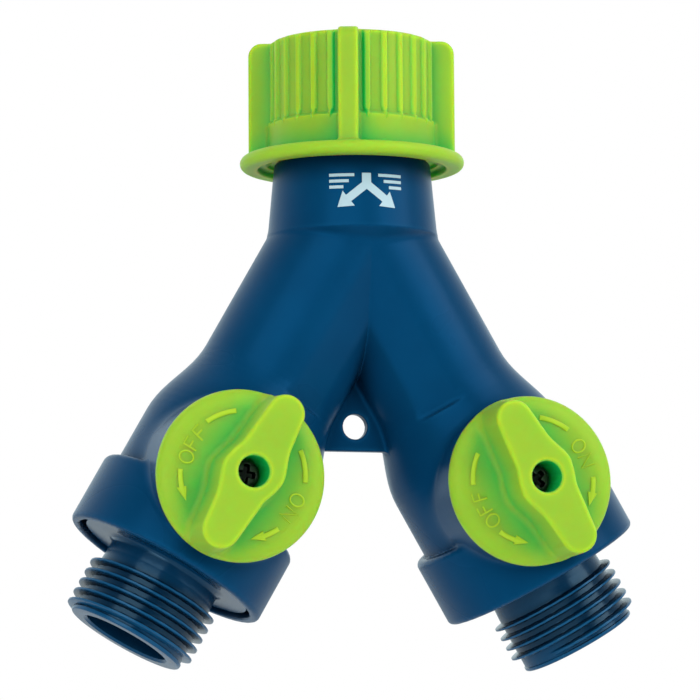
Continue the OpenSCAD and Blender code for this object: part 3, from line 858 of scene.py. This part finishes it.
# Each entry: light, dark and edge colours (the last a painted highlight on edges), roughness, strength of the
# grain, then what is special.
MATERIALS = {
    # Painted shade on the body also counts other pieces, so the neck is darkened under the nut's flange.
    "body": plastic(
        "petrol_blue_plastic", *BODY_COLOURS, 0.30, 0.22, deep=(0.0004, 0.009, 0.028),
        depth=(0.3, 0.95), local=False, Specular_IOR_Level=0.24,
        Specular_Tint=(0.03, 0.35, 0.9, 1)),
    # Painted shade: the outlet's bore and thread grooves turn near-black.
    "outlet": plastic(
        "glossy_blue_plastic", *BODY_COLOURS, 0.21, 0.12, deep=(0.0003, 0.003, 0.010),
        depth=(0.3, 0.75), reach=0.03, Specular_IOR_Level=0.34,
        Specular_Tint=(0.4, 0.75, 1, 1)),
    "lime_plastic": plastic(
        "lime_plastic", (0.31, 0.49, 0.034), (0.28, 0.47, 0.034), (0.50, 0.56, 0.014), 0.42, 0.25,
        depth=(0.48, 0.96), reach=0.009, **LIME_SCATTER_AND_SHADE),
    # Painted shade on the nut, in its grooves and beside its ribs, with a shorter reach.
    "nut_moulding": plastic(
        "lime_nut", (0.305, 0.475, 0.034), (0.28, 0.455, 0.034), (0.47, 0.54, 0.014), 0.42, 0.25,
        depth=(0.42, 0.96), reach=0.0055, **LIME_SCATTER_AND_SHADE),
    "marks": plastic(
        "lime_marks", (0.29, 0.54, 0.042), (0.26, 0.52, 0.040), (0.38, 0.57, 0.030), 0.40, 0.1,
        **LIME_SPECULAR),
    "thread": plastic(
        "lime_thread", (0.29, 0.47, 0.034), (0.26, 0.45, 0.034), (0.31, 0.49, 0.034), 0.42, 0.25,
        **LIME_SPECULAR),
    "flow_mark": plastic("white_ink", INK, (0.27, 0.42, 0.49), INK, 0.5, 0.3),
    "seals": plastic(
        "black_rubber", (0.022, 0.022, 0.022), (0.012, 0.012, 0.012), (0.04, 0.04, 0.04),
        0.62, 0.8),
    "valve_seats": plastic(
        "white_seat_plastic", (0.80, 0.80, 0.76), (0.72, 0.72, 0.68), (0.85, 0.85, 0.82),
        0.45, 0.3),
    "valve_ball": plastic(
        "white_ball_plastic", (0.78, 0.78, 0.74), (0.70, 0.70, 0.66), (0.84, 0.84, 0.8),
        0.2, 0.1),
    "stems": plastic(
        "black_stem_plastic", (0.03, 0.03, 0.032), (0.02, 0.02, 0.022), (0.06, 0.06, 0.06),
        0.45, 0.5),
    # Painted shade: the screw's cross recess turns near-black.
    "screws": plastic(
        "blackened_steel", (0.014, 0.026, 0.016), (0.009, 0.016, 0.010), (0.05, 0.06, 0.045),
        0.34, 0.4, deep=(0.001, 0.001, 0.001), Metallic=0.4),
}
OWN_MATERIAL = ("marks", "thread", "nut_moulding", "outlet", "flow_mark")


def dress(pieces):
    """Gives each new piece its own material or its slot's, and each CAD node shown its slot's."""
    for piece in pieces:
        piece.data.materials.clear()
        kind = next((word for word in OWN_MATERIAL if word in piece.name), piece["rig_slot"])
        piece.data.materials.append(MATERIALS[kind])
    slots = {s["node"]: s["material_slot"] for s in frame["record"]["subparts"]}
    for node, cad in frame["nodes"].items():
        if not cad.hide_render:
            if not cad.material_slots:
                cad.data.materials.append(None)
            for entry in cad.material_slots:
                entry.material = MATERIALS[slots[node]]


# ---------- camera, lights and floor ----------

CAMERA_AT = Vector((-0.2222, -0.7663, -0.1452))
CAMERA_TURNS = 16.124, 6.764, -0.4      # yaw, pitch and roll in degrees
CAMERA_LENS = 207.9
CENTRE = (0, 0, -0.05)
FLOOR_LEVEL = -0.2
FLOOR_HALF = 3.0
WORLD_FRONT = 0.18      # how much the surroundings light the object from in front and from behind
WORLD_BACK = 1.0
WORLD_TINT = (0.84, 1.0, 1.05)


def set_camera():
    """Camera a little below the valves and to the left, looking slightly up."""
    yaw, pitch, roll = (math.radians(turn) for turn in CAMERA_TURNS)
    level = math.cos(pitch)
    ahead = Vector((math.sin(yaw) * level, math.cos(yaw) * level, math.sin(pitch)))
    right = Vector((math.cos(yaw), -math.sin(yaw), 0))
    up = right.cross(ahead)
    right, up = (right * math.cos(roll) + up * math.sin(roll),
                 up * math.cos(roll) - right * math.sin(roll))
    camera = bpy.data.objects.new("camera", bpy.data.cameras.new("camera"))
    camera.data.lens = CAMERA_LENS
    camera.data.sensor_width = 36
    camera.data.clip_start = 0.01
    facing = Matrix((right, up, -ahead)).transposed().to_4x4()
    camera.matrix_world = Matrix.Translation(CAMERA_AT) @ facing
    bpy.context.scene.collection.objects.link(camera)
    bpy.context.scene.camera = camera


def area_light(name, at, size, power):
    """Rectangular lamp aimed at the middle of the object."""
    light = bpy.data.lights.new(name, "AREA")
    light.shape = "RECTANGLE"
    light.size, light.size_y = size
    light.energy = power
    lamp = bpy.data.objects.new(name, light)
    lamp.location = at
    lamp.rotation_euler = (Vector(CENTRE) - Vector(at)).to_track_quat("-Z", "Y").to_euler()
    bpy.context.scene.collection.objects.link(lamp)


def studio_world():
    """White surroundings whose light, slightly blue, comes mostly from behind and the sides."""
    world = bpy.data.worlds.new("studio")
    bpy.context.scene.world = world
    world.use_nodes = True
    tree = world.node_tree
    direction = add_node(tree, "ShaderNodeTexCoord").outputs["Generated"]
    parts = add_node(tree, "ShaderNodeSeparateXYZ", Vector=direction)
    behind = ramp(tree, parts.outputs["Y"], WORLD_FRONT, WORLD_BACK, -0.35, 0.65)
    dimmed = colour_mix(tree, behind, (0, 0, 0), WORLD_TINT)
    seen = add_node(tree, "ShaderNodeLightPath").outputs["Is Camera Ray"]
    light = colour_mix(tree, seen, dimmed, (1, 1, 1))
    tree.links.new(light, tree.nodes["Background"].inputs["Color"])


def set_stage():
    """Soft studio light and a plain pale floor."""
    studio_world()
    area_light("key", (0.62, -0.62, 0.42), (0.8, 0.8), 7.2)
    area_light("fill", (-0.45, -0.80, 0.35), (0.8, 0.8), 5.0)
    area_light("low fill", (-0.50, -0.55, -0.14), (0.5, 0.1), 1.0)
    mesh = bpy.data.meshes.new("floor")
    corners = (-1, -1), (1, -1), (1, 1), (-1, 1)
    mesh.from_pydata([(x * FLOOR_HALF, y * FLOOR_HALF, FLOOR_LEVEL) for x, y in corners],
                     [], [(0, 1, 2, 3)])
    floor = new_object("floor", mesh)
    pale = bpy.data.materials.new("pale_floor")
    pale.use_nodes = True
    shader = pale.node_tree.nodes["Principled BSDF"]
    shader.inputs["Base Color"].default_value = (0.85, 0.85, 0.85, 1)
    shader.inputs["Roughness"].default_value = 0.8
    mesh.materials.append(pale)
    bpy.context.scene.view_settings.view_transform = "Standard"


set_camera()
made = [make_body(), make_print(), *make_nut()]
for side_name, side_sign in SIDES.items():
    made += [make_outlet(side_name, side_sign), make_knob(side_name, side_sign),
             make_screw(side_name, side_sign), make_marks(side_name, side_sign)]
dress(made)
set_stage()
